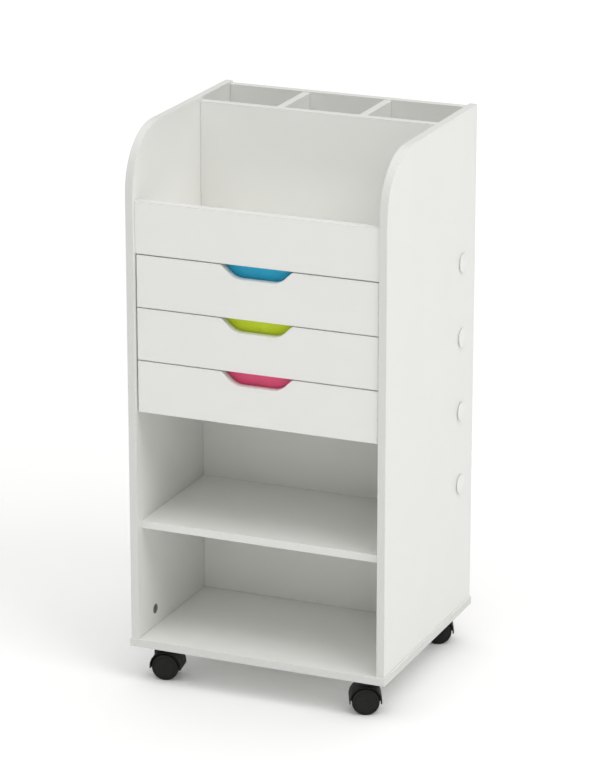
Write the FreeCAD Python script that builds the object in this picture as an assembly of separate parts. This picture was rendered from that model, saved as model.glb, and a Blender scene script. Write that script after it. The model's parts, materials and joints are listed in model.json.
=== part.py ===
import FreeCAD, Part
import math
import os

V = FreeCAD.Vector
X = V(1, 0, 0)
Y = V(0, 1, 0)
Z = V(0, 0, 1)

# A small cart on twin-wheel casters. All lengths are in millimetres.
# The origin is on the floor under the middle of the carcass. +X is the cart's right side
# as someone in front of it sees it, +Y runs from front to back and +Z is up.

# Driving sizes of the carcass
side_height = 759.0
body_width = 396.0
body_depth = 349.0
board = 12.0
base_thickness = 12.0
base_side_overhang = 2.0
base_end_overhang = 1.5
ground_clearance = 55.0
side_corner_radius = 88.0
edge_round = 0.8

# Where the inner boards stand: the open bay at the back, and setbacks from the side panels' front edges
rear_bay_depth = 107.0
shelf_setback = 15.0
bin_front_setback = 5.0
drawer_front_setback = 5.0

# Heights of the inner boards: the shelf above the base's top face, the two upper floors below the side tops
shelf_height = 167.5
bin_floor_drop = 176.0
bin_front_height = 77.0
inner_back_drop = 5.0
tray_back_drop = 3.0

# Drawers
drawer_count = 3
drawer_front_height = 76.8
drawer_gap = 1.5
drawer_side_gap = 2.0
drawer_tail_gap = 8.0
box_side_height = 64.0
box_lift = 4.0
box_side_thickness = 12.0
box_running_gap = 6.5
box_front_groove = 3.0
box_floor_thickness = 3.0
box_floor_lift = 6.0
box_floor_groove = 5.0
box_floor_play = 0.2

# Finger notch in a drawer front
notch_top_width = 109.0
notch_bottom_width = 69.0
notch_depth = 19.0
notch_bottom_radius = 28.0
notch_lip_radius = 8.0

# Coloured lining tray in a drawer
liner_wall = 1.5
liner_height = 62.5
liner_front_gap = 3.0
liner_play = 0.5

# Drawer runners
runner_height = 10.0
runner_bite = 5.5
runner_front_gap = 30.0
runner_back_gap = 15.0
runner_groove_depth = 6.0
runner_play = 0.3
runner_rise = 32.0
runner_screw_radius = 1.75
runner_screw_head_radius = 3.2
runner_screw_head_height = 2.2
runner_screw_length = 21.0
runner_screw_inset = 25.0

# Ribbon rods across the open bay at the back
rod_count = 4
rod_radius = 8.0
rod_play = 0.1
rod_rear_inset = 53.0
rod_top_drop = 48.0
rod_pitch = 113.0
rod_socket_depth = 8.0
rod_end_gap = 0.5
cap_radius = 14.0
cap_height = 5.5
cap_dome_rise = 2.1
cap_round = 0.7
cap_spigot_radius = 4.0
cap_spigot_length = 14.0
cap_seat_gap = 0.1

# Cam fittings and dowels that join the boards
cam_radius = 7.4
cam_hole_radius = 7.5
cam_height = 9.8
cam_hole_depth = 10.4
cam_distance = 27.0
cam_slot_length = 8.6
cam_slot_width = 1.3
cam_slot_depth = 1.8
bolt_thread_radius = 3.0
bolt_thread_length = 9.0
bolt_neck_radius = 2.2
bolt_head_radius = 3.3
bolt_head_length = 3.6
bolt_bore_radius = 3.6
dowel_radius = 3.0
dowel_short = 8.0
dowel_long = 16.0
dowel_end_gap = 0.5
dowel_spacing = 32.0
base_cam_inset = 57.0

# Casters
caster_side_inset = 31.0
caster_front_inset = 36.0
caster_rear_inset = 24.0
caster_trail = 12.0
wheel_radius = 20.0
wheel_width = 13.0
wheel_edge_round = 1.6
wheel_hub_radius = 6.0
wheel_pocket_radius = 16.5
wheel_pocket_depth = 8.0
wheel_bore_depth = 10.5
wheel_side_gap = 0.5
wheel_play = 0.05
axle_radius = 2.5
axle_end_gap = 0.5
hood_web = 10.0
hood_width = 36.0
hood_wall = 1.8
hood_wall_gap = 1.8
hood_drop = 3.0
hood_hub_radius = 7.5
hood_round = 1.6
hood_top_gap = 0.6
hood_neck_radius = 8.0
plate_size = 38.0
plate_thickness = 2.5
plate_corner_radius = 4.0
pin_radius = 3.5
pin_length = 18.0
pin_play = 0.1
pin_end_gap = 1.0
plate_screw_inset = 5.5
plate_screw_radius = 1.75
plate_screw_head_radius = 3.4
plate_screw_head_height = 1.8
plate_screw_length = 11.0

# One overrun serves every cut that has to break through a face
overrun = 2.0

# Which way each caster trails at rest, in degrees from +X towards +Y
caster_places = (
    ("front_left", -1, -1, 10.0),
    ("front_right", 1, -1, 204.5),
    ("rear_left", -1, 1, 330.0),
    ("rear_right", 1, 1, 203.0),
)

# Shares of a board's own length at which its fittings sit
shelf_cam_shares = (0.22, 0.80)
back_cam_shares = (0.12, 0.50, 0.88)
tray_cam_shares = (0.25, 0.80)
divider_dowel_shares = (0.25, 0.75)
long_dowel_shares = (0.15, 0.50, 0.85)

# Levels and planes worked out from the driving sizes
base_bottom = ground_clearance
base_top = base_bottom + base_thickness
side_top = base_top + side_height
outer_x = body_width / 2
inner_x = outer_x - board
front_y = -body_depth / 2
rear_y = body_depth / 2
tray_front_y = rear_y - rear_bay_depth
bay_back_y = tray_front_y - board
tray_back_y = rear_y - board
shelf_bottom = base_top + shelf_height
bin_floor_bottom = side_top - bin_floor_drop
bin_floor_top = bin_floor_bottom + board
inner_back_top = side_top - inner_back_drop
tray_back_top = side_top - tray_back_drop
drawer_front_y = front_y + drawer_front_setback
drawer_back_y = drawer_front_y + board
drawer_pitch = drawer_front_height + drawer_gap

parts = {}
cuts = {}


def box(low, high):
    """A square-edged block between two corners."""
    size = high - low
    return Part.makeBox(size.x, size.y, size.z, low)


def board_block(low, high):
    """A board between two corners, with its edges eased."""
    block = box(low, high)
    return block.makeFillet(edge_round, block.Edges)


def peg(radius, start, end):
    """A round bar from one point to another."""
    way = end - start
    return Part.makeCylinder(radius, way.Length, start, way)


def rounded_wire(points, radii):
    """A closed outline whose corners are tangent arcs; a radius of zero keeps a corner sharp."""
    spans = []
    count = len(points)
    for i in range(count):
        corner = points[i]
        back = (points[i - 1] - corner).normalize()
        ahead = (points[(i + 1) % count] - corner).normalize()
        if radii[i] == 0:
            spans.append((corner, None, corner))
            continue
        half = back.getAngle(ahead) / 2
        reach = radii[i] / math.tan(half)
        middle = (back + ahead).normalize() * (radii[i] / math.sin(half) - radii[i])
        spans.append((corner + back * reach, corner + middle, corner + ahead * reach))
    edges = []
    for i in range(count):
        start, via, end = spans[i]
        if via is not None:
            edges.append(Part.Arc(start, via, end).toShape())
        edges.append(Part.LineSegment(end, spans[(i + 1) % count][0]).toShape())
    return Part.Wire(edges)


def slab(points, radii, thickness):
    """A rounded outline pushed out along a vector."""
    return Part.Face(rounded_wire(points, radii)).extrude(thickness)


def eased_slab(points, radii, thickness):
    """A slab whose two faces have eased edges; edges along the thickness stay as drawn."""
    shape = slab(points, radii, thickness)
    way = V(thickness).normalize()
    rims = []
    for edge in shape.Edges:
        along = edge.Vertexes[-1].Point - edge.Vertexes[0].Point
        if abs(along.dot(way)) < edge_round:
            rims.append(edge)
    return shape.makeFillet(edge_round, rims)


def add_cut(name, tool):
    """Remembers a tool to be cut from a board once every joint is laid out."""
    cuts.setdefault(name, []).append(tool)


def add_group(name, solid):
    """Adds one more separate solid to a node that holds identical small pieces."""
    parts.setdefault(name, []).append(solid)


def cam_fitting(face_board, edge_board, place, into, cam_side):
    """One cam and bolt: the bolt stands in a board's face and the cam pulls the other board's edge."""
    centre = place + into * cam_distance
    sink = place - into * bolt_thread_length
    mouth = centre + cam_side * (board / 2)
    add_cut(face_board, peg(bolt_thread_radius, sink, place))
    add_cut(edge_board, peg(bolt_bore_radius, place, centre))
    add_cut(edge_board, peg(cam_hole_radius, mouth, mouth - cam_side * cam_hole_depth))
    head_start = centre - into * (bolt_head_length / 2)
    thread = peg(bolt_thread_radius, sink, place)
    neck = peg(bolt_neck_radius, place, head_start)
    head = peg(bolt_head_radius, head_start, centre + into * (bolt_head_length / 2))
    add_group("cam_bolts", thread.fuse([neck, head]).removeSplitter())
    disc = peg(cam_radius, mouth, mouth - cam_side * cam_height)
    room = peg(bolt_bore_radius, centre - into * cam_hole_radius, centre + into * bolt_head_length)
    across = into.cross(cam_side)
    slot = box(V(0, 0, 0), V(cam_slot_length, cam_slot_width, cam_slot_depth))
    slot.translate(V(-cam_slot_length / 2, -cam_slot_width / 2, -cam_slot_depth))
    turn = FreeCAD.Rotation(into, across, cam_side)
    slot.Placement = FreeCAD.Placement(mouth, turn).multiply(slot.Placement)
    add_group("cam_locks", disc.cut([room, slot]))


def dowel(face_board, edge_board, place, into):
    """One wooden dowel, glued into a board's face and sliding into the other board's edge."""
    sink = place - into * dowel_short
    tip = place + into * dowel_long
    add_cut(face_board, peg(dowel_radius, sink, place))
    add_cut(edge_board, peg(dowel_radius, place, tip + into * dowel_end_gap))
    add_group("wood_dowels", peg(dowel_radius, sink, tip))


def carcass():
    """The boards of the body, and the fittings that hold them together."""
    base_corner = V(outer_x + base_side_overhang, rear_y + base_end_overhang, base_top)
    parts["base_panel"] = board_block(V(-base_corner.x, -base_corner.y, base_bottom), base_corner)
    side_points = (
        V(0, front_y, base_top),
        V(0, front_y, side_top),
        V(0, rear_y, side_top),
        V(0, rear_y, base_top),
    )
    side_radii = (0, side_corner_radius, edge_round, 0)
    for name, side in (("left", -1), ("right", 1)):
        panel = eased_slab(side_points, side_radii, X * board)
        panel.translate(X * (-outer_x if side < 0 else inner_x))
        parts[name + "_side_panel"] = panel
    parts["inner_back_panel"] = board_block(
        V(-inner_x, bay_back_y, base_top), V(inner_x, tray_front_y, inner_back_top))
    parts["shelf_panel"] = board_block(
        V(-inner_x, front_y + shelf_setback, shelf_bottom), V(inner_x, bay_back_y, shelf_bottom + board))
    bin_front_y = front_y + bin_front_setback
    parts["bin_floor_panel"] = board_block(
        V(-inner_x, bin_front_y + board, bin_floor_bottom), V(inner_x, bay_back_y, bin_floor_top))
    parts["bin_front_panel"] = board_block(
        V(-inner_x, bin_front_y, bin_floor_bottom),
        V(inner_x, bin_front_y + board, bin_floor_bottom + bin_front_height))
    parts["tray_floor_panel"] = board_block(
        V(-inner_x, tray_front_y, bin_floor_bottom), V(inner_x, tray_back_y, bin_floor_top))
    parts["tray_back_panel"] = board_block(
        V(-inner_x, tray_back_y, bin_floor_bottom), V(inner_x, rear_y, tray_back_top))
    compartment = (2 * inner_x - 2 * board) / 3
    for name, side in (("left", -1), ("right", 1)):
        middle = side * (compartment + board) / 2
        parts["tray_divider_" + name] = board_block(
            V(middle - board / 2, tray_front_y, bin_floor_top),
            V(middle + board / 2, tray_back_y, inner_back_top))
        divider_joints("tray_divider_" + name, middle)
    for side in (-1, 1):
        side_joints(side)
    floor_joints()


def divider_joints(name, middle):
    """Dowels at both ends of a tray divider."""
    height = inner_back_top - bin_floor_top
    for share in divider_dowel_shares:
        level = bin_floor_top + height * share
        dowel("inner_back_panel", name, V(middle, tray_front_y, level), Y)
        dowel("tray_back_panel", name, V(middle, tray_back_y, level), -Y)


def side_joints(side):
    """Every joint between one side panel and the boards that meet it."""
    name = "left_side_panel" if side < 0 else "right_side_panel"
    inward = X * -side
    wall_x = side * inner_x
    middle_x = side * (inner_x + board / 2)
    for edge, away in ((front_y, 1), (rear_y, -1)):
        spot = V(middle_x, edge + away * base_cam_inset, base_top)
        cam_fitting("base_panel", name, spot, Z, inward)
        dowel("base_panel", name, spot + Y * (away * dowel_spacing), Z)
    lying = (
        ("shelf_panel", front_y + shelf_setback, bay_back_y, shelf_bottom),
        ("bin_floor_panel", front_y + bin_front_setback + board, bay_back_y, bin_floor_bottom),
    )
    for panel, near, far, bottom in lying:
        for share in shelf_cam_shares:
            spot = V(wall_x, near + (far - near) * share, bottom + board / 2)
            cam_fitting(name, panel, spot, inward, -Z)
            dowel(name, panel, spot + Y * (dowel_spacing * (1 if share < 0.5 else -1)), inward)
    standing = (
        ("inner_back_panel", bay_back_y, base_top, bin_floor_bottom, back_cam_shares),
        ("tray_back_panel", tray_back_y, bin_floor_bottom, tray_back_top, tray_cam_shares),
        ("bin_front_panel", front_y + bin_front_setback, bin_floor_bottom,
         bin_floor_bottom + bin_front_height, tray_cam_shares),
    )
    for panel, near, bottom, top, shares in standing:
        lock_side = -Y if panel == "tray_back_panel" else Y
        for share in shares:
            spot = V(wall_x, near + board / 2, bottom + (top - bottom) * share)
            if panel == "bin_front_panel" and share < 0.5:
                dowel(name, panel, spot, inward)
                continue
            cam_fitting(name, panel, spot, inward, lock_side)
            if panel == "inner_back_panel":
                dowel(name, panel, spot + Z * dowel_spacing, inward)
    tray_middle = V(wall_x, (tray_front_y + tray_back_y) / 2, bin_floor_bottom + board / 2)
    cam_fitting(name, "tray_floor_panel", tray_middle, inward, -Z)
    dowel(name, "tray_floor_panel", tray_middle + Y * dowel_spacing, inward)


def floor_joints():
    """Dowels from the upright boards into the edges of the two floors above the drawers."""
    for share in long_dowel_shares:
        across = -inner_x + 2 * inner_x * share
        level = bin_floor_bottom + board / 2
        dowel("inner_back_panel", "bin_floor_panel", V(across, bay_back_y, level), -Y)
        dowel("tray_back_panel", "tray_floor_panel", V(across, tray_back_y, level), -Y)


def runners(number, front_bottom):
    """A pair of runner strips with their screws, for one drawer."""
    low_z = front_bottom + box_lift + runner_rise - runner_height / 2
    near = front_y + runner_front_gap
    far = bay_back_y - runner_back_gap
    reach = box_running_gap + runner_bite
    for side in (-1, 1):
        wall = V(side * inner_x, near, low_z)
        tip_x = side * (inner_x - reach)
        strip = box(V(min(wall.x, tip_x), near, low_z), V(max(wall.x, tip_x), far, low_z + runner_height))
        name = "left_side_panel" if side < 0 else "right_side_panel"
        for spot_y in (near + runner_screw_inset, far - runner_screw_inset):
            head = V(tip_x, spot_y, low_z + runner_height / 2)
            way = X * side
            neck = head + way * runner_screw_head_height
            cone = Part.makeCone(runner_screw_head_radius, runner_screw_radius,
                                 runner_screw_head_height, head, way)
            screw = cone.fuse(peg(runner_screw_radius, neck, head + way * runner_screw_length))
            add_group("runner_screws", screw.removeSplitter())
            strip = strip.cut(screw)
            add_cut(name, peg(runner_screw_radius, neck, head + way * runner_screw_length))
        add_group("drawer_runners", strip)


def drawer(number):
    """One drawer: notched front, box sides, back, thin floor and lining tray."""
    name = "drawer_%d_" % number
    front_top = bin_floor_bottom - drawer_gap - (number - 1) * drawer_pitch
    front_bottom = front_top - drawer_front_height
    half_front = inner_x - drawer_side_gap
    half_top = notch_top_width / 2
    half_low = notch_bottom_width / 2
    points = (
        V(-half_front, 0, front_bottom),
        V(half_front, 0, front_bottom),
        V(half_front, 0, front_top),
        V(half_top, 0, front_top),
        V(half_low, 0, front_top - notch_depth),
        V(-half_low, 0, front_top - notch_depth),
        V(-half_top, 0, front_top),
        V(-half_front, 0, front_top),
    )
    radii = (edge_round, edge_round, edge_round, notch_lip_radius, notch_bottom_radius,
             notch_bottom_radius, notch_lip_radius, edge_round)
    front = eased_slab(points, radii, Y * board)
    front.translate(Y * drawer_front_y)

    half_box = inner_x - box_running_gap
    half_inside = half_box - box_side_thickness
    side_low = front_bottom + box_lift
    side_high = side_low + box_side_height
    box_tail = bay_back_y - drawer_tail_gap
    box_nose = drawer_back_y - box_front_groove
    floor_low = side_low + box_floor_lift
    floor_high = floor_low + box_floor_thickness
    groove_high = floor_high + box_floor_play
    sides = {}
    for label, side in (("left", -1), ("right", 1)):
        outer = side * half_box
        inner = side * half_inside
        low_x = min(outer, inner)
        high_x = max(outer, inner)
        wall = box(V(low_x, box_nose, side_low), V(high_x, box_tail, side_high))
        front = front.cut(wall)
        deep = outer - side * runner_groove_depth
        groove_middle = side_low + runner_rise
        groove_half = runner_height / 2 + runner_play
        groove = box(V(min(outer, deep), front_y + runner_front_gap - runner_play, groove_middle - groove_half),
                     V(max(outer, deep), box_tail + overrun, groove_middle + groove_half))
        sides[label] = wall.cut(groove)
    back_low = V(-half_inside, box_tail - box_side_thickness, side_low)
    back = box(back_low, V(half_inside, box_tail, side_high))
    floor_slot = box(V(-half_inside - box_floor_groove, drawer_back_y - box_floor_groove, floor_low),
                     V(half_inside + box_floor_groove, back_low.y + box_floor_groove, groove_high))
    floor = box(V(-half_inside - box_floor_groove + box_floor_play,
                  drawer_back_y - box_floor_groove + box_floor_play, floor_low),
                V(half_inside + box_floor_groove - box_floor_play,
                  back_low.y + box_floor_groove - box_floor_play, floor_high))
    parts[name + "front"] = front.cut(floor_slot)
    parts[name + "left_side"] = sides["left"].cut(floor_slot)
    parts[name + "right_side"] = sides["right"].cut(floor_slot)
    parts[name + "back"] = back.cut(floor_slot)
    parts[name + "floor"] = floor

    outer_low = V(-half_inside + liner_play, drawer_back_y + liner_front_gap, floor_high)
    outer_high = V(half_inside - liner_play, back_low.y - liner_play, floor_high + liner_height)
    wall = V(liner_wall, liner_wall, liner_wall)
    hollow_high = V(outer_high.x - liner_wall, outer_high.y - liner_wall, outer_high.z + overrun)
    parts[name + "liner"] = box(outer_low, outer_high).cut(box(outer_low + wall, hollow_high))
    runners(number, front_bottom)


def ribbon_rod(number):
    """One rod across the rear bay, with the round end cap that stops it at the right side."""
    level = bin_floor_bottom - rod_top_drop - (number - 1) * rod_pitch
    depth = rear_y - rod_rear_inset
    left_end = V(-inner_x - rod_socket_depth + rod_end_gap, depth, level)
    right_end = V(outer_x + cap_seat_gap, depth, level)
    bore_end = right_end - X * cap_spigot_length
    bar = peg(rod_radius, left_end, right_end)
    name = "ribbon_rod_%d" % number
    parts[name] = bar.cut(peg(cap_spigot_radius, bore_end, right_end))
    dome_radius = (cap_radius ** 2 + cap_dome_rise ** 2) / (2 * cap_dome_rise)
    dome = Part.makeSphere(dome_radius, right_end + X * (cap_height - dome_radius), X)
    disc = peg(cap_radius, right_end, right_end + X * cap_height).common(dome)
    rim = [edge for edge in disc.Edges if edge.Closed and edge.BoundBox.XMin > right_end.x + cap_round]
    disc = disc.makeFillet(cap_round, rim)
    spigot = peg(cap_spigot_radius, bore_end, right_end)
    parts["rod_cap_%d" % number] = disc.fuse(spigot).removeSplitter()
    hole = rod_radius + rod_play
    add_cut("right_side_panel", peg(hole, V(inner_x - overrun, depth, level), V(outer_x + overrun, depth, level)))
    add_cut("left_side_panel", peg(hole, V(-inner_x - rod_socket_depth, depth, level),
                                   V(-inner_x + overrun, depth, level)))


def wheel():
    """A wheel on the local Y axis: its inner face is at zero and it grows towards +Y."""
    disc = Part.makeCylinder(wheel_radius, wheel_width, V(0, 0, 0), Y)
    rims = [edge for edge in disc.Edges if edge.BoundBox.ZMax > wheel_radius / 2 and edge.Closed]
    disc = disc.makeFillet(wheel_edge_round, rims)
    pocket = Part.makeCylinder(wheel_pocket_radius, wheel_pocket_depth + overrun, V(0, -overrun, 0), Y)
    pocket = pocket.cut(Part.makeCylinder(wheel_hub_radius, wheel_width, V(0, -overrun, 0), Y))
    bore = Part.makeCylinder(axle_radius + wheel_play, wheel_bore_depth + overrun, V(0, -overrun, 0), Y)
    return disc.cut([pocket, bore])


def hood():
    """The caster's hood about its axle: a drum over both wheels, a web between them and a neck for the pin."""
    top = ground_clearance - plate_thickness - hood_top_gap - wheel_radius
    well_radius = wheel_radius + hood_wall_gap
    outer_radius = well_radius + hood_wall
    half = hood_width / 2
    reach = half + overrun
    drum = peg(outer_radius, V(0, -half, 0), V(0, half, 0))
    drum = drum.makeFillet(hood_round, [edge for edge in drum.Edges if edge.Closed])
    neck = peg(hood_neck_radius, V(caster_trail, 0, 0), V(caster_trail, 0, top))
    lowest = -outer_radius - overrun
    under = box(V(lowest, -reach, lowest), V(-lowest, reach, -hood_drop))
    near_well = peg(well_radius, V(0, -reach, 0), V(0, -hood_web / 2, 0))
    far_well = peg(well_radius, V(0, hood_web / 2, 0), V(0, reach, 0))
    hub = peg(hood_hub_radius, V(0, -hood_web / 2, 0), V(0, hood_web / 2, 0))
    pin_hole = peg(pin_radius + pin_play, V(caster_trail, 0, top - pin_length - pin_end_gap),
                   V(caster_trail, 0, top + overrun))
    shell = drum.fuse(neck).cut([under, near_well, far_well]).fuse(hub).removeSplitter()
    bore = peg(axle_radius, V(0, -reach, 0), V(0, reach, 0))
    return shell.cut([pin_hole, bore])


def axle():
    """The steel axle through the web and into both wheels."""
    half = hood_web / 2 + wheel_side_gap + wheel_bore_depth - axle_end_gap
    return peg(axle_radius, V(0, -half, 0), V(0, half, 0))


def caster_plate(spot):
    """A square plate under the base with its swivel pin, and the four screws that hold it."""
    half = plate_size / 2
    top = base_bottom
    low = top - plate_thickness
    corners = [V(spot.x + i * half, spot.y + j * half, low)
               for i, j in ((-1, -1), (1, -1), (1, 1), (-1, 1))]
    plate = slab(corners, [plate_corner_radius] * len(corners), Z * plate_thickness)
    pin = peg(pin_radius, V(spot.x, spot.y, low - pin_length), V(spot.x, spot.y, low))
    plate = plate.fuse(pin).removeSplitter()
    grip = half - plate_screw_inset
    for i in (-1, 1):
        for j in (-1, 1):
            head = V(spot.x + i * grip, spot.y + j * grip, low)
            neck = head + Z * plate_screw_head_height
            cone = Part.makeCone(plate_screw_head_radius, plate_screw_radius,
                                 plate_screw_head_height, head, Z)
            shank = peg(plate_screw_radius, neck, head + Z * plate_screw_length)
            screw = cone.fuse(shank).removeSplitter()
            plate = plate.cut(screw)
            add_group("caster_screws", screw)
            add_cut("base_panel", shank)
    add_group("caster_plates", plate)


def caster(name, side, end, trail_angle):
    """One swivelling twin-wheel caster, turned to the way it trails at rest."""
    end_inset = caster_front_inset if end < 0 else caster_rear_inset
    half_x = outer_x + base_side_overhang - caster_side_inset
    half_y = rear_y + base_end_overhang - end_inset
    spot = V(side * half_x, end * half_y, wheel_radius)
    caster_plate(spot)
    turn = FreeCAD.Rotation(Z, trail_angle + 180)
    place = FreeCAD.Placement(spot, turn).multiply(FreeCAD.Placement(X * -caster_trail, FreeCAD.Rotation()))
    half_web = hood_web / 2 + wheel_side_gap
    near = wheel()
    near.translate(Y * half_web)
    far = near.mirror(V(0, 0, 0), Y)
    pieces = {"hood": hood(), "axle": axle(), "wheel_a": near, "wheel_b": far}
    for piece, shape in pieces.items():
        shape.Placement = place.multiply(shape.Placement)
        parts["caster_%s_%s" % (name, piece)] = shape


def build():
    """Makes every piece, cuts the joints and writes one file per node."""
    carcass()
    for number in range(1, drawer_count + 1):
        drawer(number)
    for number in range(1, rod_count + 1):
        ribbon_rod(number)
    for name, side, end, trail_angle in caster_places:
        caster(name, side, end, trail_angle)
    for name, tools in cuts.items():
        parts[name] = parts[name].cut(tools)
    os.makedirs("parts", exist_ok=True)
    for name, shape in parts.items():
        if isinstance(shape, list):
            shape = Part.makeCompound(shape)
        shape.exportStep(os.path.join("parts", name + ".step"))
        valid = shape.isValid()
        print("%-28s solids %2d volume %12.1f valid %s" % (name, len(shape.Solids), shape.Volume, valid))


build()
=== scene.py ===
"""Looks of a narrow white storage cart.

It has laminated boards, card-lined drawers, spool rods and twin-wheel casters. Lengths inside the functions
are in millimetres, as on a drawing, and become metres when a mesh is made.
"""
import json
import math

import bpy
import numpy as np
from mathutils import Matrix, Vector


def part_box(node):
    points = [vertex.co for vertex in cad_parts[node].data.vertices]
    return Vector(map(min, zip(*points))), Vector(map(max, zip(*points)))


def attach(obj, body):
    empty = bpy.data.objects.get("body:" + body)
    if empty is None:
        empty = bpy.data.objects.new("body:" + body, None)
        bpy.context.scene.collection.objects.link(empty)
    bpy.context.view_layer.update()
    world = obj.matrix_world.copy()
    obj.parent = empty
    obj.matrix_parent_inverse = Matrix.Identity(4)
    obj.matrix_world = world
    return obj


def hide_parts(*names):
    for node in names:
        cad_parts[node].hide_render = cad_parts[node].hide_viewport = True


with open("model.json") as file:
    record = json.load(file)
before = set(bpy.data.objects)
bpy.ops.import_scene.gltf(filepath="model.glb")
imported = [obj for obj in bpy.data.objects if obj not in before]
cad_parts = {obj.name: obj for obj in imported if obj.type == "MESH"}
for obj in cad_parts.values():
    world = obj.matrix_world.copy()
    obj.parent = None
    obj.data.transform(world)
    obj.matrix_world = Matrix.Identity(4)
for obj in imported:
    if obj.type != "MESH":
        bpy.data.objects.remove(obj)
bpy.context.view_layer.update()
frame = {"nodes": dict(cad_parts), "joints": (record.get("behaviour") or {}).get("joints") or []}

MM = 0.001
TURN = 2 * math.pi

# Sizes that the CAD model gives, in millimetres
EASE = 0.8
BOARD = 12.0
SIDE_ARC = 88.0
NOTCH_TOP = 109.0
NOTCH_BOTTOM = 69.0
NOTCH_DEPTH = 19.0
NOTCH_FOOT_RADIUS = 28.0
NOTCH_LIP_RADIUS = 8.0
WELL_RADIUS = 21.8
HOOD_RADIUS = 23.6
HOOD_ROUND = 1.6
HOOD_DROP = 3.0
HOOD_TOP = 31.9
NECK_RADIUS = 8.0
BOSS_RADIUS = 7.5
WEB_HALF = 5.0
WHEEL_RADIUS = 20.0
WHEEL_START = 5.5
CAP_RADIUS = 14.0
CAP_HEIGHT = 5.5
SPIGOT_RADIUS = 4.0

# Sizes that only the looks need, in millimetres
SEAM = EASE + 0.45
SEAM_DEPTH = 0.10
RIM_MARGIN = 6.0
CARD = 1.2
FOLD = 1.6
CARD_BOW = 0.5
LAP_LIFT = 0.55

# Edge distances that stand for a mark: far from every edge, and beside a tread, whose own mark is zero
FAR = 99.0
BESIDE_TREAD = 9.0

# Steps round full circles, and over the hood
CAP_STEPS = 72
SPIGOT_STEPS = 24
ROD_STEPS = 40
WHEEL_STEPS = 96
NECK_STEPS = 56
HOOD_STEPS = 110

# Colours of the plain materials
WHITE_BOARD = (0.85, 0.85, 0.822)
THIN_BOARD = (0.80, 0.79, 0.76)
RAW_EDGE = (0.33, 0.21, 0.12)
SEAM_GREY = (0.45, 0.43, 0.39)
RUBBED = (0.56, 0.54, 0.49)

# The studio, in metres, watts and degrees; lens and film in millimetres.
# A lamp has a name, a place, a point that it faces, a side and a power.
LAMPS = (("side", (2.6, -1.2, 4.0), (0, 0, 0.6), 2.2, 52.0),
         ("front", (1.9, -4.3, 1.7), (0, 0, 0.45), 2.0, 13.5))
FLOOR_HALF = 14.0
CAMERA_PLACE = (1.9311, -4.5723, 2.0406)
CAMERA_DOWN = 18.088
CAMERA_ROUND = 22.950
LENS = 165.85
FILM_WIDTH = 36.0


# Shapes: whole arrays of points

def unit(ways):
    """Every row divided by its own length."""
    return ways / np.linalg.norm(ways, axis=-1, keepdims=True)


def rounded_outline(corners, radii, inset, arc_steps, side_shares=()):
    """A closed flat outline with rounded corners, drawn a given distance inside the drawn one.

    Both sides of a corner move inwards by the inset, so the corner moves by the sum of their normals over one
    plus the normals' product. An outward corner's radius loses the inset and an inward corner's gains it. The
    arc starts its radius times the tangent of half the turn before the corner, and each of its points is that
    start turned about the arc's middle. Points on the straight sides are shares of the way between two arcs.
    Corners run counter-clockwise; the result holds one row per point.
    """
    corners = np.asarray(corners, float)
    before = unit(corners - np.roll(corners, 1, 0))
    after = unit(np.roll(corners, -1, 0) - corners)
    normal_before = np.stack([-before[:, 1], before[:, 0]], 1)
    normal_after = np.stack([-after[:, 1], after[:, 0]], 1)
    together = 1 + np.sum(normal_before * normal_after, 1, keepdims=True)
    moved = corners + inset * (normal_before + normal_after) / together
    bend = before[:, 0] * after[:, 1] - before[:, 1] * after[:, 0]
    turn = np.arctan2(bend, np.sum(before * after, 1))
    side = np.sign(bend)[:, None]
    radius = np.maximum(np.asarray(radii, float)[:, None] - inset * side, 0.02)
    start = moved - before * radius * np.tan(np.abs(turn[:, None]) / 2)
    middle = start + normal_before * side * radius
    angle = turn[:, None] * np.linspace(0, 1, arc_steps)
    arm = (start - middle)[:, None, :]
    turned = np.stack([arm[..., 0] * np.cos(angle) - arm[..., 1] * np.sin(angle),
                       arm[..., 0] * np.sin(angle) + arm[..., 1] * np.cos(angle)], -1)
    points = middle[:, None, :] + turned
    if len(side_shares):
        share = np.asarray(side_shares, float)[None, :, None]
        leave = points[:, -1:, :]
        reach = np.roll(points, -1, 0)[:, :1, :]
        points = np.concatenate([points, leave + (reach - leave) * share], 1)
    return points.reshape(-1, 2)


def eased_rim():
    """Rows of inset and depth that carry an outline round a board's edge, from one face to the other.

    A flat margin, a shallow seam where the edging meets the face, and a quarter circle of the easing radius.
    The circle's inset is the radius times one minus the sine and its depth the radius times one minus the
    cosine. Then the same follows in mirror image.
    """
    face = [(RIM_MARGIN, 0.0), (2.6, 0.0), (SEAM + 0.14, 0.0), (SEAM + 0.05, SEAM_DEPTH),
            (SEAM - 0.05, SEAM_DEPTH), (SEAM - 0.14, 0.0)]
    bow = np.linspace(0, math.pi / 2, 5)
    rounding = np.stack([EASE * (1 - np.sin(bow)), EASE * (1 - np.cos(bow))], 1)
    half = np.concatenate([np.array(face), rounding])
    other = half[::-1] * [1, -1] + [0, BOARD]
    return np.concatenate([half, other])


def revolved(profile, steps):
    """Rings about Z: each profile row of radius and height is turned through a full circle."""
    profile = np.asarray(profile, float)
    angle = np.linspace(0, TURN, steps, endpoint=False)
    radius = profile[:, :1]
    return np.stack([radius * np.cos(angle), radius * np.sin(angle),
                     np.repeat(profile[:, 1:2], steps, 1)], -1)


def arc_rows(middle, radius, start, end, steps):
    """Points on a circle's arc: the middle plus the radius along each angle, in degrees."""
    angle = np.radians(np.linspace(start, end, steps))
    return np.stack([middle[0] + radius * np.cos(angle), middle[1] + radius * np.sin(angle)], 1)


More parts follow.
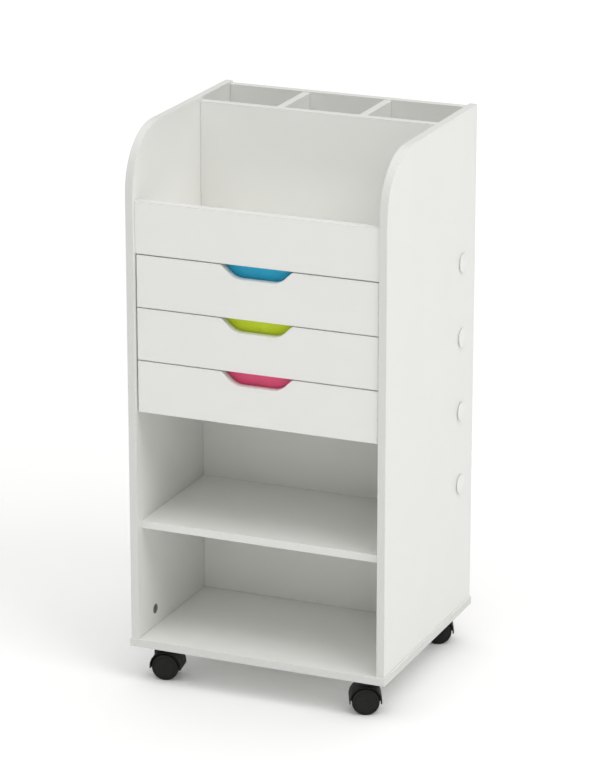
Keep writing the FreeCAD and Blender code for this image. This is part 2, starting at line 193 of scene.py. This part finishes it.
class Piece:
    """Closed sheets of points gathered for one mesh, with each point's distance from its board's edge."""

    def __init__(self, name):
        self.name = name
        self.points, self.edges, self.corners, self.sizes, self.smooth = [], [], [], [], []
        self.count = 0

    def add(self, grid, edge=FAR):
        """Adds a grid of points, closed along its rows' direction, and a flat cap on its first and last ring.

        Each quad joins four neighbours. The signed volume is a sixth of the sum over fans of triangles of the
        triple product of their corners; if it is negative, every face is turned over.
        """
        rings, around = grid.shape[:2]
        row = np.arange(rings - 1)[:, None] * around
        column = np.arange(around)[None, :]
        beside = (column + 1) % around
        quads = np.stack([row + column, row + beside, row + around + beside, row + around + column], -1)
        quads = quads.reshape(-1, 4)
        flat = grid.reshape(-1, 3)
        a, b, c, d = (flat[quads[:, i]] for i in range(4))
        volume = np.sum(a * (np.cross(b, c) + np.cross(c, d)))
        lids = [np.arange(around)[::-1], (rings - 1) * around + np.arange(around)]
        for lid in lids:
            volume += np.sum(flat[lid[0]] * np.cross(flat[lid[1:-1]], flat[lid[2:]]))
        if volume < 0:
            quads = quads[:, ::-1]
            lids = [lid[::-1] for lid in lids]
        self.points.append(flat)
        self.edges.append(np.broadcast_to(edge, (rings, around)).reshape(-1))
        self.corners.append(quads.reshape(-1) + self.count)
        self.sizes.append(np.full(len(quads), 4))
        self.smooth.append(np.ones(len(quads), bool))
        for lid in lids:
            self.corners.append(lid + self.count)
            self.sizes.append(np.array([len(lid)]))
            self.smooth.append(np.zeros(1, bool))
        self.count += rings * around
        return self

    def make(self, material, body, slot, stands_for):
        """Makes the mesh in metres, with its edge distances as an attribute, and lets it ride on its body."""
        points = np.concatenate(self.points) * MM
        corners = np.concatenate(self.corners)
        sizes = np.concatenate(self.sizes)
        mesh = bpy.data.meshes.new(self.name)
        mesh.vertices.add(len(points))
        mesh.vertices.foreach_set("co", points.astype(np.float32).reshape(-1))
        mesh.loops.add(len(corners))
        mesh.loops.foreach_set("vertex_index", corners.astype(np.int32))
        mesh.polygons.add(len(sizes))
        starts = np.concatenate([[0], np.cumsum(sizes)[:-1]])
        mesh.polygons.foreach_set("loop_start", starts.astype(np.int32))
        mesh.polygons.foreach_set("use_smooth", np.concatenate(self.smooth))
        edge = mesh.attributes.new("edge", "FLOAT", "POINT")
        edge.data.foreach_set("value", np.concatenate(self.edges).astype(np.float32))
        mesh.update(calc_edges=True)
        mesh.validate()
        mesh.materials.append(material)
        made = bpy.data.objects.new(self.name, mesh)
        bpy.context.scene.collection.objects.link(made)
        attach(made, body)
        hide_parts(*stands_for)
        return made


def crisp(piece, angle=28.0):
    """Marks edges sharper than an angle, so that flats stay flat beside smooth roundings."""
    piece.data.set_sharp_from_angle(angle=math.radians(angle))
    return piece


# Where a revolved grid's own x, y and z go: its axis along X, or along Y
ALONG_X = ((0, 1, 0), (0, 0, 1), (1, 0, 0))
ALONG_Y = ((1, 0, 0), (0, 0, 1), (0, 1, 0))


def placed(grid, axes, origin):
    """Turns a grid's own three directions into three given ones and moves it to an origin."""
    return grid @ np.asarray(axes, float) + np.asarray(origin, float)


# Shader maths: arithmetic on sockets

class Wire:
    """A socket of one finish; arithmetic on it adds Math nodes."""

    def __init__(self, finish, socket):
        self.finish, self.socket = finish, socket

    def _math(self, operation, *terms):
        return self.finish.node("ShaderNodeMath", {"operation": operation}, dict(enumerate(terms)))

    def __add__(self, other):
        return self._math("ADD", self, other)

    __radd__ = __add__

    def __sub__(self, other):
        return self._math("SUBTRACT", self, other)

    def __rsub__(self, other):
        return self._math("SUBTRACT", other, self)

    def __mul__(self, other):
        return self._math("MULTIPLY", self, other)

    __rmul__ = __mul__

    def __abs__(self):
        return self._math("ABSOLUTE", self)

    def least(self, other):
        """The smaller of this and another value."""
        return self._math("MINIMUM", self, other)

    def most(self, other):
        """The larger of this and another value."""
        return self._math("MAXIMUM", self, other)

    def root(self):
        """The square root."""
        return self._math("SQRT", self)

    def rise(self, low, high):
        """Zero below the low value, one above the high one and a smooth step between them."""
        settings = {"interpolation_type": "SMOOTHSTEP"}
        return self.finish.node("ShaderNodeMapRange", settings,
                                {"Value": self, "From Min": low, "From Max": high})

    def fall(self, low, high):
        """One below the low value, zero above the high one."""
        return 1 - self.rise(low, high)


class Finish:
    """One material, or the studio's surround, being put together from nodes."""

    def __init__(self, name, holder=None, place="Object"):
        self.material = holder or bpy.data.materials.new(name)
        self.material.use_nodes = True
        self.tree = self.material.node_tree
        self.tree.nodes.clear()
        self.place = self.node("ShaderNodeTexCoord", output=place)

    def node(self, kind, settings=None, values=None, output=0):
        """Adds a node of a type: its settings first, then the values or links of its sockets."""
        made = self.tree.nodes.new(kind)
        for key, value in (settings or {}).items():
            if key == "stops":
                ramp = made.color_ramp
                while len(ramp.elements) < len(value):
                    ramp.elements.new(0.5)
                for element, (position, colour) in zip(ramp.elements, value):
                    element.position = position
                    element.color = (*colour, 1.0)
            else:
                setattr(made, key, value)
        for key, value in (values or {}).items():
            if isinstance(value, Wire):
                self.tree.links.new(value.socket, made.inputs[key])
            elif isinstance(value, tuple) and made.inputs[key].type == "RGBA":
                made.inputs[key].default_value = (*value, 1.0)
            else:
                made.inputs[key].default_value = value
        return None if output is None else Wire(self, made.outputs[output])

    def axes(self):
        """The object's own x, y and z in millimetres."""
        scaled = self.node("ShaderNodeVectorMath", {"operation": "SCALE"},
                           {0: self.place, "Scale": 1 / MM})
        return [self.node("ShaderNodeSeparateXYZ", None, {0: scaled}, output=i) for i in range(3)]

    def stretched(self, stretch):
        """The place, scaled by a factor along each axis."""
        return self.node("ShaderNodeVectorMath", {"operation": "MULTIPLY"}, {0: self.place, 1: stretch})

    def noise(self, grain, detail=3.0, harsh=0.55, place=None):
        """Soft noise whose lumps are about one grain across, in millimetres."""
        values = {"Vector": place or self.place, "Scale": 1 / (grain * MM),
                  "Detail": detail, "Roughness": harsh}
        return self.node("ShaderNodeTexNoise", None, values)

    def ramp(self, factor, stops):
        """Colours along a factor."""
        return self.node("ShaderNodeValToRGB", {"stops": stops}, {"Fac": factor})

    def mix(self, factor, first, second):
        """Between two colours by a factor."""
        return self.node("ShaderNodeMix", {"data_type": "RGBA"}, {0: factor, 6: first, 7: second}, output=2)

    def shade(self, factor, colour):
        """A colour times a grey factor."""
        grey = self.node("ShaderNodeCombineColor", None, {0: factor, 1: factor, 2: factor})
        return self.node("ShaderNodeMix", {"data_type": "RGBA", "blend_type": "MULTIPLY"},
                         {0: 1.0, 6: colour, 7: grey}, output=2)

    def bump(self, height, depth):
        """A normal raised by a height from zero to one, whose full depth is in millimetres."""
        return self.node("ShaderNodeBump", None, {"Height": height, "Distance": depth * MM, "Strength": 1.0})

    def done(self, colour, roughness, normal, **constants):
        """Feeds the surface shader and returns the material."""
        values = {"Base Color": colour, "Roughness": roughness, "Normal": normal}
        values.update({key.replace("_", " "): value for key, value in constants.items()})
        shader = self.node("ShaderNodeBsdfPrincipled", None, values, output="BSDF")
        self.node("ShaderNodeOutputMaterial", None, {"Surface": shader}, output=None)
        return self.material


# Finishes

def board_distances(finish, low, high, arc=0.0):
    """How far a point of a board is from its outline and from its nearer face, in millimetres.

    The thin direction gives the face distance. The outline distance is the least distance to the other four
    sides. Where the top front corner is an arc, it is also the arc's radius less the length of the way from
    the arc's middle, counted only forwards and upwards.
    """
    place = finish.axes()
    thin = int(np.argmin(np.subtract(high, low)))
    nearest = [(p - a).least(b - p) for p, a, b in zip(place, low, high)]
    face = nearest[thin]
    flat = [nearest[i] for i in range(3) if i != thin]
    if arc:
        forwards = (low[1] + arc - place[1]).most(0.0)
        upwards = (place[2] - (high[2] - arc)).most(0.0)
        corner = arc - (forwards * forwards + upwards * upwards).root()
        flat = [corner, (high[1] - place[1]).least(place[2] - low[2])]
    return flat[0].least(flat[1]), face


def laminate(finish, edge, face, tone=WHITE_BOARD, edging_share=0.83, raw_edges=False):
    """White melamine on particle board: edging, a fine seam, light rubbing along edges and chips in bores."""
    cloud = finish.noise(90, 2.0)
    peel = finish.noise(3.2, 2.0)
    pearl = finish.noise(0.8, 2.0)
    inside = edge.least(face).rise(0.45, 0.6)
    edging = face.rise(0.05, 0.25)
    seam = abs(edge - SEAM).fall(0.04, 0.16) * face.fall(0.02, 0.08)
    rub = (edge + face).fall(0.4, 3.5) * finish.noise(7, 4.0, 0.7).rise(0.52, 0.74)
    smear = finish.noise(28, 4.0, 0.65).rise(0.55, 0.85)
    colour = finish.shade(0.975 + 0.04 * cloud, tone)
    colour = finish.mix(smear * 0.10, colour, tuple(0.90 * c for c in tone))
    edging_tone = RAW_EDGE if raw_edges else tuple(edging_share * c for c in tone)
    colour = finish.mix(edging * 0.9, colour, edging_tone)
    colour = finish.mix(seam * 0.55, colour, SEAM_GREY)
    colour = finish.mix(rub * 0.40, colour, RUBBED)
    chip_tones = ((0.30, (0.16, 0.09, 0.045)), (0.50, (0.42, 0.28, 0.16)), (0.72, (0.66, 0.50, 0.31)))
    chips = finish.ramp(finish.noise(1.7, 3.0, 0.7), chip_tones)
    colour = finish.mix(inside, colour, chips)
    rough = 0.36 + 0.10 * cloud + 0.10 * smear + 0.16 * rub + 0.06 * peel + 0.35 * inside
    height = 0.55 * pearl + 0.45 * peel - 0.6 * seam + 2.0 * inside * finish.noise(1.1)
    return finish.done(colour, rough, finish.bump(height, 0.020), Specular_IOR_Level=0.5)


def board_finish(node, arc=0.0, **options):
    """The laminate of one flat board that the CAD model gives."""
    low, high = size_of(node)
    finish = Finish("laminate_" + node)
    edge, face = board_distances(finish, low.tolist(), high.tolist(), arc)
    return laminate(finish, edge, face, **options)


def front_finish(name, front_y):
    """The laminate of a drawer front, whose outline distances come with its mesh."""
    finish = Finish(name)
    edge = finish.node("ShaderNodeAttribute", {"attribute_name": "edge"}, output="Fac")
    y = finish.axes()[1]
    # Its edging is drawn lighter than the carcass's (0.95 of the tone against 0.83): painted light, so that
    # the notch's rim, shaded in its recess, reads white.
    return laminate(finish, edge, (y - front_y).least(front_y + BOARD - y), edging_share=0.95)


def card_finish(name, colour, core):
    """Dyed card: matt, felted with short fibres, a paler cut edge and scuffed folds."""
    finish = Finish(name)
    edge = finish.node("ShaderNodeAttribute", {"attribute_name": "edge"}, output="Fac")
    felt = finish.noise(1.3, 4.0, 0.7, finish.stretched((1.0, 1.0, 0.45)))
    cloud = finish.noise(45, 3.0)
    scuff = edge.fall(0.5, 5.0) * finish.noise(4, 4.0, 0.7).rise(0.45, 0.7)
    tint = finish.shade(0.88 + 0.14 * cloud + 0.08 * felt, colour)
    tint = finish.mix(scuff * 0.35, tint, core)
    tint = finish.mix(edge.fall(0.15, 0.4) * 0.6, tint, core)
    rough = 0.62 + 0.14 * felt + 0.08 * cloud
    return finish.done(tint, rough, finish.bump(felt, 0.05), Sheen_Weight=0.15, Specular_IOR_Level=0.35)


def wood_finish(name):
    """Turned beech: grain drawn out along the rod, short dark rays and a slightly open surface."""
    finish = Finish(name)
    bands = finish.noise(2.6, 3.0, 0.6, finish.stretched((0.035, 1.0, 1.0)))
    rays = finish.noise(0.7, 2.0, 0.6, finish.stretched((0.12, 1.0, 1.0)))
    cloud = finish.noise(60, 2.0)
    tones = ((0.25, (0.50, 0.31, 0.16)), (0.50, (0.64, 0.43, 0.25)), (0.75, (0.74, 0.55, 0.35)))
    colour = finish.ramp(bands, tones)
    colour = finish.mix(rays.rise(0.58, 0.70) * 0.5, colour, (0.38, 0.22, 0.11))
    colour = finish.shade(0.92 + 0.14 * cloud, colour)
    return finish.done(colour, 0.48 + 0.18 * bands, finish.bump(0.6 * bands + 0.4 * rays, 0.05))


def white_plastic_finish(name):
    """Moulded white plastic: satin, with flow clouds, a fine texture and a few handling marks."""
    finish = Finish(name)
    cloud = finish.noise(11, 3.0)
    grain = finish.noise(0.55, 2.0)
    marks = finish.noise(2.4, 5.0, 0.75).rise(0.60, 0.74)
    colour = finish.shade(0.97 + 0.03 * cloud, (0.87, 0.87, 0.85))
    colour = finish.mix(marks * 0.16, colour, (0.66, 0.65, 0.61))
    rough = 0.34 + 0.12 * cloud + 0.12 * marks
    return finish.done(colour, rough, finish.bump(0.7 * grain + 0.3 * marks, 0.018), Specular_IOR_Level=0.5)


def black_plastic_finish(name, dusty):
    """Moulded black plastic with a fine texture; more pale dust lies where the piece is marked as a tread."""
    finish = Finish(name)
    tread = finish.node("ShaderNodeAttribute", {"attribute_name": "edge"}, output="Fac").fall(0.0, 1.0)
    grain = finish.noise(0.45, 3.0, 0.6)
    cloud = finish.noise(14, 3.0)
    dust = finish.noise(3.5, 5.0, 0.7).rise(0.45, 0.78)
    scuffs = finish.noise(1.2, 3.0, 0.8, finish.stretched((0.25, 0.25, 1.0))).rise(0.58, 0.72) * tread
    colour = finish.shade(0.8 + 0.4 * cloud, (0.0135, 0.0132, 0.0125))
    colour = finish.mix(dust * (dusty + 0.2 * tread), colour, (0.060, 0.057, 0.052))
    colour = finish.mix(scuffs * 0.35, colour, (0.10, 0.095, 0.085))
    rough = 0.50 + 0.10 * cloud + 0.20 * dust + 0.10 * scuffs
    return finish.done(colour, rough, finish.bump(0.8 * grain + 0.4 * scuffs, 0.035), Specular_IOR_Level=0.22)


def metal_finish(name, colour, rough, drawn):
    """Plated or cast metal: a mottled skin, fine drawn lines and dull spots."""
    finish = Finish(name)
    lines = finish.noise(0.5, 2.0, 0.6, finish.stretched(drawn))
    mottle = finish.noise(2.2, 4.0, 0.65)
    spots = finish.noise(1.1, 4.0, 0.7).rise(0.62, 0.76)
    tint = finish.shade(0.82 + 0.25 * mottle, colour)
    tint = finish.mix(spots * 0.35, tint, tuple(0.55 * c for c in colour))
    dull = rough + 0.16 * mottle + 0.2 * spots
    return finish.done(tint, dull, finish.bump(0.6 * lines + 0.4 * mottle, 0.02), Metallic=1.0)


def floor_finish(name):
    """A plain pale studio floor, lit from below like a light table, more so far from the cart."""
    finish = Finish(name)
    cloud = finish.noise(900, 2.0)
    grain = finish.noise(2.0, 2.0)
    colour = finish.shade(0.985 + 0.015 * cloud, (0.94, 0.94, 0.935))
    x, y = finish.axes()[:2]
    far = (x * x + y * y).root().rise(900, 3400)
    return finish.done(colour, 0.75 + 0.08 * cloud, finish.bump(grain, 0.02), Specular_IOR_Level=0.0,
                       Emission_Color=finish.shade(0.4 + 0.6 * far, (1.0, 1.0, 1.0)), Emission_Strength=0.15)


# Pieces

def size_of(node):
    """The low and high corner of a CAD node, in millimetres."""
    return (np.array(corner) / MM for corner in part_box(node))


def drawer_front(number):
    """A board with a finger notch: its outline is carried round the edge by the eased rim, face to face."""
    low, high = size_of("drawer_%d_front" % number)
    top = high[2]
    corners = ((low[0], low[2]), (high[0], low[2]), (high[0], top), (NOTCH_TOP / 2, top),
               (NOTCH_BOTTOM / 2, top - NOTCH_DEPTH), (-NOTCH_BOTTOM / 2, top - NOTCH_DEPTH),
               (-NOTCH_TOP / 2, top), (low[0], top))
    radii = (EASE, EASE, EASE, NOTCH_LIP_RADIUS, NOTCH_FOOT_RADIUS, NOTCH_FOOT_RADIUS, NOTCH_LIP_RADIUS, EASE)
    rim = eased_rim()
    rings = [rounded_outline(corners, radii, inset, 12) for inset, depth in rim]
    grid = np.stack([np.stack([ring[:, 0], np.full(len(ring), low[1] + depth), ring[:, 1]], 1)
                     for ring, (inset, depth) in zip(rings, rim)])
    name = "drawer_front_%d" % number
    made = Piece(name).add(grid, np.repeat(rim[:, :1], grid.shape[1], 1))
    front = made.make(front_finish("laminate_" + name, float(low[1])), "drawer_%d" % number, "white_board",
                      ["drawer_%d_front" % number])
    return crisp(front)


def card_tray(number, finish, slot):
    """A lining tray folded from card.

    A rounded rectangle goes up the outside, over the cut top edge and down the inside. The front wall bows
    by a sine along it and the side walls by one plus a sine, both times the card's bow and the square of the
    height's share. On the front wall the card laps over itself, which lifts it between two ramps.
    """
    low, high = size_of("drawer_%d_liner" % number)
    height = high[2] - low[2]
    corners = ((low[0], low[1]), (high[0], low[1]), (high[0], high[1]), (low[0], high[1]))
    rise = np.array([0.25, 0.5, 0.75, 0.93, 0.985])
    bend = np.radians(np.linspace(0, 90, 5))
    outer = np.concatenate([
        [[12.0, 0.0]],
        np.stack([FOLD * (1 - np.sin(bend)), FOLD * (1 - np.cos(bend))], 1),
        np.stack([0 * rise, rise * height], 1),
        [[0.0, height - 0.15], [0.15, height]],
    ])
    inner = np.concatenate([
        [[CARD - 0.15, height], [CARD, height - 0.15]],
        np.stack([CARD + 0 * rise, rise * height], 1)[::-1],
        np.stack([FOLD + (CARD - FOLD) * np.sin(bend), FOLD + (CARD - FOLD) * np.cos(bend)], 1)[::-1],
        [[12.0, CARD]],
    ])
    rows = np.concatenate([outer, inner])
    shares = (0.04, 0.12, 0.2, 0.3, 0.4, 0.46, 0.494, 0.4985, 0.5015,
              0.506, 0.53, 0.561, 0.566, 0.6, 0.7, 0.8, 0.88, 0.96)
    rings = np.stack([rounded_outline(corners, [FOLD] * 4, inset, 5, shares) for inset, lift in rows])
    x, y = rings[..., 0], rings[..., 1]
    lift = rows[:, 1:]
    share = lift / height
    middle = (low[:2] + high[:2]) / 2
    half = (high[:2] - low[:2]) / 2
    to_front = np.clip((middle[1] - y) / half[1], 0, 1) ** 30
    to_side = np.clip(np.abs(x - middle[0]) / half[0], 0, 1) ** 30
    bow = CARD_BOW * share ** 2
    y = y + to_front * bow * np.sin(x / 31.0 + number)
    x = x - np.sign(x) * to_side * bow * (1 + np.sin(y / 27.0 + 2 * number))
    step = np.clip((x + 0.25) / 0.5, 0, 1) * np.clip((21.5 - x) / 1.0, 0, 1)
    outside = (np.arange(len(rows)) < len(outer))[:, None]
    y = y - to_front * outside * np.clip(lift / 3.0, 0, 1) * step * LAP_LIFT
    grid = np.stack([x, y, low[2] + np.broadcast_to(lift, x.shape)], -1)
    cut = np.broadcast_to(height - lift, x.shape)
    name = "card_tray_%d" % number
    made = Piece(name).add(grid, cut)
    tray = made.make(finish, "drawer_%d" % number, slot, ["drawer_%d_liner" % number])
    return crisp(tray, 40.0)


def cap_rows():
    """Radius and height of an end cap: a shadow groove at the wall, a short rim and a domed face.

    The dome's height is its rise times one minus the square of its radius' share.
    """
    share = np.linspace(0.985, 0.13, 12)
    dome = np.stack([13.3 * share, 3.5 + 1.9 * (1 - share ** 2)], 1)
    groove = [[0.4, 0.0], [8.0, 0.0], [11.4, 0.0], [11.6, 1.25], [13.2, 1.45], [13.8, 1.65]]
    rim = [[CAP_RADIUS, 2.0], [CAP_RADIUS, 2.7]]
    mould_mark = [[1.3, 5.42], [0.9, 5.32], [0.3, 5.32]]
    return np.concatenate([groove, rim, arc_rows((13.2, 2.7), 0.8, 15, 78, 5), dome, mould_mark])


def end_cap(number, finish):
    """A push-in cap of a spool rod: its rows turned about the rod's axis, and its spigot."""
    low, high = size_of("rod_cap_%d" % number)
    middle = (low + high) / 2
    head = revolved(cap_rows(), CAP_STEPS)
    head = placed(head, ALONG_X, (high[0] - CAP_HEIGHT, middle[1], middle[2]))
    peg = [[0.5, 0.0], [3.4, 0.0], [SPIGOT_RADIUS, 0.8], [SPIGOT_RADIUS, 13.9], [1.0, 14.2]]
    spigot = placed(revolved(peg, SPIGOT_STEPS), ALONG_X, (low[0], middle[1], middle[2]))
    name = "end_cap_%d" % number
    made = Piece(name).add(head).add(spigot)
    return crisp(made.make(finish, "rod_%d" % number, "white_plastic", ["rod_cap_%d" % number]), 35.0)


def spool_rod(number, finish):
    """A turned rod with chamfered ends and a blind hole for its cap.

    Its radius wavers by a few hundredths: a sine times a cosine of the length along it.
    """
    low, high = size_of("ribbon_rod_%d" % number)
    middle = (low + high) / 2
    length = high[0] - low[0]
    radius = (high[2] - low[2]) / 2
    along = np.linspace(1.0, length - 1.0, 48)
    waver = radius - 0.03 + 0.03 * np.sin(along / 17.0 + number) * np.cos(along / 7.3)
    chamfer = [[0.5, 0.0], [radius - 1.0, 0.0], [radius - 0.3, 0.4]]
    hole = [[radius - 0.6, length], [4.1, length], [4.05, length - 0.4], [4.05, length - 14.5],
            [0.5, length - 14.6]]
    rows = np.concatenate([chamfer, np.stack([waver, along], 1), hole])
    grid = placed(revolved(rows, ROD_STEPS), ALONG_X, (low[0], middle[1], middle[2]))
    made = Piece("spool_rod_%d" % number).add(grid)
    return crisp(made.make(finish, "rod_%d" % number, "natural_wood", ["ribbon_rod_%d" % number]), 35.0)


def caster_axes(name):
    """A caster's own three directions, its axle's middle and its trail, from the places of its joints."""
    swivel, spin = (np.array(next(j for j in frame["joints"] if j["name"] == name + end)["pos_m"]) / MM
                    for end in ("_swivel", "_wheel_a_spin"))
    way = (swivel - spin) * [1, 1, 0]
    ahead = unit(way)
    across = np.array([-ahead[1], ahead[0], 0.0])
    return np.array([ahead, across, (0, 0, 1)]), spin, float(np.linalg.norm(way))


def caster_cover(name, finish):
    """The drum-shaped hood over both wheels, the web between them and the neck that takes the pin.

    A section runs from the web, along one wheel's well, round the lip and the shoulder, over the top with its
    parting line, and back down the other side. Each of its points goes round the axle from where it meets the
    hood's level lower edge: minus the arc sine of the drop over its radius. The neck's foot lies on the drum:
    its height is the root of the drum's squared radius less the squared distance ahead of the axle.
    """
    axes, hub, trail = caster_axes(name)
    bow = np.radians(np.linspace(90, 0, 6))
    near_r = [7.0, 20.2, 21.2, WELL_RADIUS - 0.2, WELL_RADIUS, WELL_RADIUS, WELL_RADIUS + 0.1]
    near_y = [WEB_HALF, WEB_HALF, 5.2, 5.8, 6.8, 17.7, 18.0]
    half_r = np.concatenate([near_r, HOOD_RADIUS - HOOD_ROUND * (1 - np.cos(bow)),
                             HOOD_RADIUS + np.array([0, 0, 0, 0.14, 0.18])])
    half_y = np.concatenate([near_y, 18.0 - HOOD_ROUND * (1 - np.sin(bow)), [10.0, 4.0, 0.65, 0.3, 0.0]])
    radius = np.concatenate([half_r, half_r[-2::-1]])[None, :]
    across = np.concatenate([half_y, -half_y[-2::-1]])[None, :]
    start = -np.arcsin(HOOD_DROP / radius)
    turn = start + (math.pi - 2 * start) * np.linspace(0, 1, HOOD_STEPS)[:, None]
    shell = np.stack([radius * np.cos(turn), across + 0 * turn, radius * np.sin(turn)], -1)
    boss = [[0.5, -WEB_HALF], [7.1, -WEB_HALF], [BOSS_RADIUS, -4.6], [BOSS_RADIUS, 4.6], [7.1, WEB_HALF],
            [0.5, WEB_HALF]]
    hub_part = placed(revolved(boss, ROD_STEPS), ALONG_Y, (0, 0, 0))
    angle = np.linspace(0, TURN, NECK_STEPS, endpoint=False)[None, :]
    foot_r = np.array([0.5, 4.0, 8.9, 8.5, 8.2, 8.05, NECK_RADIUS])[:, None]
    foot_lift = np.array([-0.5, -0.5, -0.1, 0.2, 0.5, 0.8, 1.2])[:, None]
    foot_x = trail + foot_r * np.cos(angle)
    foot_z = np.sqrt(HOOD_RADIUS ** 2 - foot_x ** 2) + foot_lift
    foot = np.stack([foot_x, foot_r * np.sin(angle), foot_z], -1)
    top_r = np.array([NECK_RADIUS, NECK_RADIUS, 7.85, 7.5, 7.0, 3.7, 3.65, 0.4])[:, None]
    top_z = HOOD_TOP - np.array([3.0, 0.8, 0.25, 0.05, 0.0, 0.0, 0.8, 0.85])[:, None]
    top = np.stack([trail + top_r * np.cos(angle), top_r * np.sin(angle), top_z + 0 * angle], -1)
    made = Piece("caster_cover_" + name)
    for grid in (shell, hub_part, np.concatenate([foot, top])):
        made.add(placed(grid, axes, hub), BESIDE_TREAD)
    cover = made.make(finish, "caster_" + name, "black_plastic", ["caster_%s_hood" % name])
    return crisp(cover, 32.0)


def wheel_rows():
    """Radius and width of a wheel from its bore round the hub, the pocket, the tread and the outer disc."""
    inner = [[0.5, 10.4], [2.5, 10.4], [2.52, 0.4], [2.9, 0.0], [5.7, 0.0], [6.0, 0.3], [6.0, 7.4],
             [6.6, 8.0], [15.9, 8.0], [16.5, 7.4], [16.5, 0.3], [16.8, 0.0], [18.4, 0.0]]
    band = [[WHEEL_RADIUS, width] for width in (4.0, 6.3, 6.9, 9.2)]
    tread = np.concatenate([arc_rows((18.4, 1.6), 1.6, -75, 0, 5), band,
                            arc_rows((18.4, 11.4), 1.6, 0, 90, 6)])
    disc = [[17.9, 13.0], [17.6, 12.95], [17.3, 12.45], [16.8, 12.35], [16.4, 12.55], [16.0, 12.75],
            [9.0, 12.85], [5.6, 12.9], [5.2, 12.75], [4.8, 12.55], [3.2, 12.55], [2.8, 12.8], [2.4, 12.9],
            [0.4, 12.92]]
    marks = np.repeat([BESIDE_TREAD, 0.0, BESIDE_TREAD], [len(inner), len(tread), len(disc)])
    return np.concatenate([inner, tread, disc]), marks


def caster_wheel(name, letter, side, finish):
    """A wheel: its rows turned about the axle, mirrored for the far side; the tread is marked for dust."""
    axes, hub, _ = caster_axes(name)
    rows, marks = wheel_rows()
    outwards = np.multiply(ALONG_Y, [1, side, 1])
    grid = placed(revolved(rows, WHEEL_STEPS), outwards, (0, side * WHEEL_START, 0))
    made = Piece("caster_wheel_%s_%s" % (name, letter))
    made.add(placed(grid, axes, hub), np.repeat(marks[:, None], WHEEL_STEPS, 1))
    node = "caster_%s_wheel_%s" % (name, letter)
    wheel = made.make(finish, "wheel_%s_%s" % (name, letter), "black_plastic", [node])
    return crisp(wheel, 32.0)


def dress():
    """Gives every carried-over CAD node its finish and makes the finer pieces."""
    steel = metal_finish("plated_steel", (0.60, 0.60, 0.61), 0.26, (1.0, 1.0, 0.2))
    # The cast zinc is drawn much darker than bare zinc: painted shade, so that the cams look as dark as their
    # shaded bores.
    zinc = metal_finish("cast_zinc", (0.27, 0.265, 0.26), 0.46, (1.0, 1.0, 1.0))
    wood = wood_finish("turned_wood")
    plastic = white_plastic_finish("moulded_white")
    cover_black = black_plastic_finish("moulded_black", 0.10)
    wheel_black = black_plastic_finish("wheel_black", 0.18)
    shared = {"cam_bolts": steel, "caster_plates": steel, "caster_screws": steel, "runner_screws": steel,
              "cam_locks": zinc, "wood_dowels": wood, "drawer_runners": plastic}
    for name, node in frame["nodes"].items():
        if name in shared:
            finish = shared[name]
        elif name.endswith("_axle"):
            finish = steel
        elif name.endswith("side_panel"):
            finish = board_finish(name, SIDE_ARC)
        elif name.endswith("_floor"):
            finish = board_finish(name, tone=THIN_BOARD, raw_edges=True)
        elif name == "shelf_panel":
            finish = board_finish(name, edging_share=0.92)
        elif name.endswith(("_panel", "_divider_left", "_divider_right", "_side", "_back")):
            finish = board_finish(name)
        else:
            continue
        node.data.materials.clear()
        node.data.materials.append(finish)
    cards = ((1, "blue_card", (0.030, 0.46, 0.72)), (2, "lime_card", (0.70, 0.86, 0.035)),
             (3, "pink_card", (0.97, 0.125, 0.27)))
    for number, slot, colour in cards:
        drawer_front(number)
        card_tray(number, card_finish(slot, colour, tuple(0.5 * c + 0.4 for c in colour)), slot)
    for number in (1, 2, 3, 4):
        end_cap(number, plastic)
        spool_rod(number, wood)
    for name in ("front_left", "front_right", "rear_left", "rear_right"):
        caster_cover(name, cover_black)
        caster_wheel(name, "a", 1, wheel_black)
        caster_wheel(name, "b", -1, wheel_black)


# Studio

def surround(name):
    """A soft surround: its light grows with the square of the height it comes from; the eye sees it white."""
    sky = Finish(name, bpy.data.worlds.new(name), "Generated")
    height = sky.node("ShaderNodeSeparateXYZ", None, {0: sky.place}, output=2)
    seen = sky.node("ShaderNodeLightPath", output="Is Camera Ray")
    light = (0.12 + 1.56 * height * height).most(seen)
    shader = sky.node("ShaderNodeBackground", None, {"Color": (1.0, 1.0, 1.0), "Strength": light})
    sky.node("ShaderNodeOutputWorld", None, {"Surface": shader}, output=None)
    return sky.material


def studio():
    """A wide pale floor, soft lamps and a bright surround."""
    corners = [(FLOOR_HALF * x, FLOOR_HALF * y, 0) for x, y in ((-1, -1), (1, -1), (1, 1), (-1, 1))]
    mesh = bpy.data.meshes.new("studio_floor")
    mesh.from_pydata(corners, [], [(0, 1, 2, 3)])
    mesh.materials.append(floor_finish("studio_floor"))
    floor = bpy.data.objects.new("studio_floor", mesh)
    bpy.context.scene.collection.objects.link(floor)
    bpy.context.scene.world = surround("studio_surround")
    bpy.context.scene.view_settings.view_transform = "Standard"
    for name, place, aim, size, power in LAMPS:
        light = bpy.data.lights.new("lamp_" + name, "AREA")
        light.shape = "SQUARE"
        light.size = size
        light.energy = power
        lamp = bpy.data.objects.new("lamp_" + name, light)
        lamp.location = place
        lamp.rotation_euler = (Vector(aim) - Vector(place)).to_track_quat("-Z", "Y").to_euler()
        bpy.context.scene.collection.objects.link(lamp)


def camera():
    """The photograph's view: right of the front by 23 degrees and down by 18."""
    data = bpy.data.cameras.new("camera")
    data.sensor_width = FILM_WIDTH
    data.lens = LENS
    data.clip_start = 0.05
    data.clip_end = 60.0
    held = bpy.data.objects.new("camera", data)
    held.location = CAMERA_PLACE
    held.rotation_euler = (math.radians(90 - CAMERA_DOWN), 0.0, math.radians(CAMERA_ROUND))
    bpy.context.scene.collection.objects.link(held)
    bpy.context.scene.camera = held


camera()
studio()
dress()
